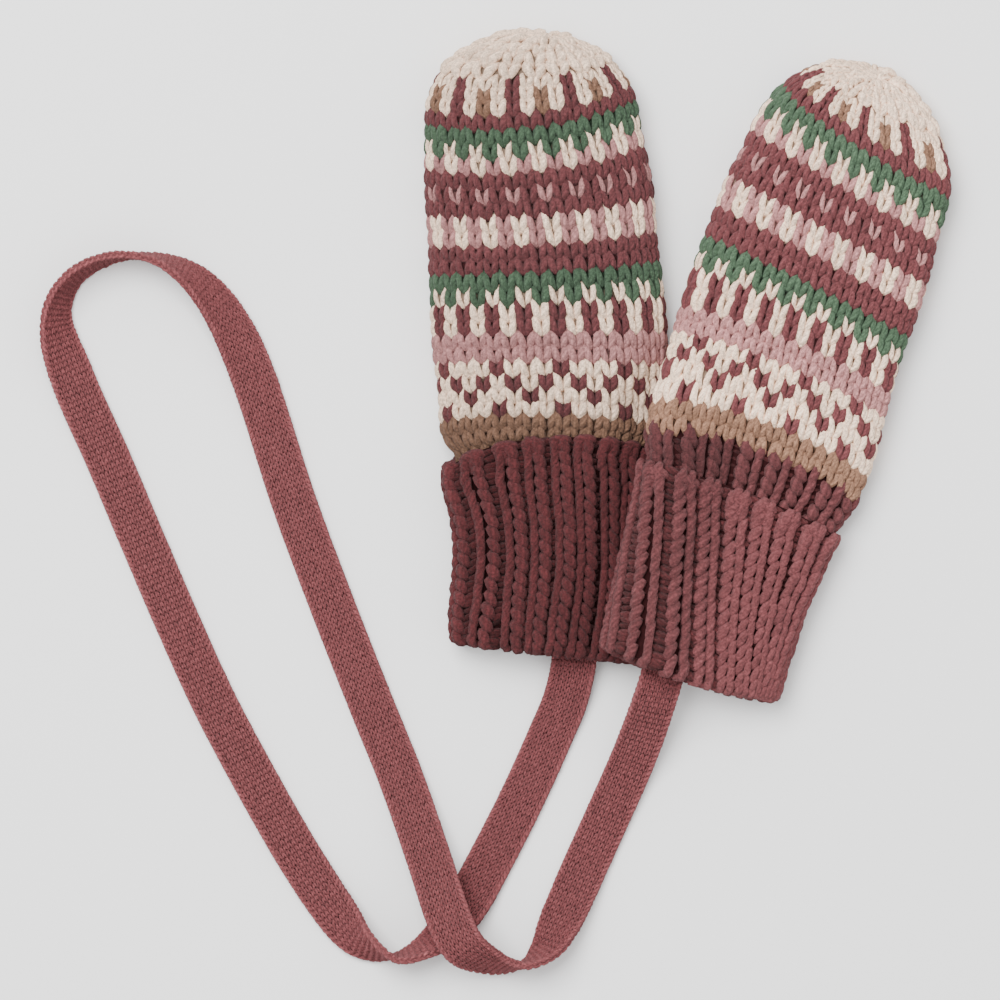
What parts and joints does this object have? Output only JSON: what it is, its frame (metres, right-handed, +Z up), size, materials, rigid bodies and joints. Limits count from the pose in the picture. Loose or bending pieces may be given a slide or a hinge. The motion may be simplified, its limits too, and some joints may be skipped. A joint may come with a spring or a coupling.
{
  "type": "pair of baby mittens",
  "caption": "Pair of baby mittens in banded stranded knitting with folded rib cuffs, joined by a long flat knitted cord and laid flat, one partly on the other.",
  "frame": {"origin": "on the surface, under the middle of the box round the two mittens without the cord", "axes": "+Z up from the surface, +Y from the cuffs towards the fingertips, +X from the left mitten to the right one"},
  "size_m": [0.246, 0.256, 0.0263],
  "materials": {
    "stranded_knit": "matt wool, stranded knitting in five colours",
    "rib_knit": "matt wool, one by one rib",
    "tape_knit": "matt wool, fine flat knitted tape"
  },
  "bodies": {
    "root": {"left_hand": "stranded_knit", "left_cuff": "rib_knit", "right_hand": "stranded_knit", "right_cuff": "rib_knit", "strap": "tape_knit"}
  },
  "joints": []
}
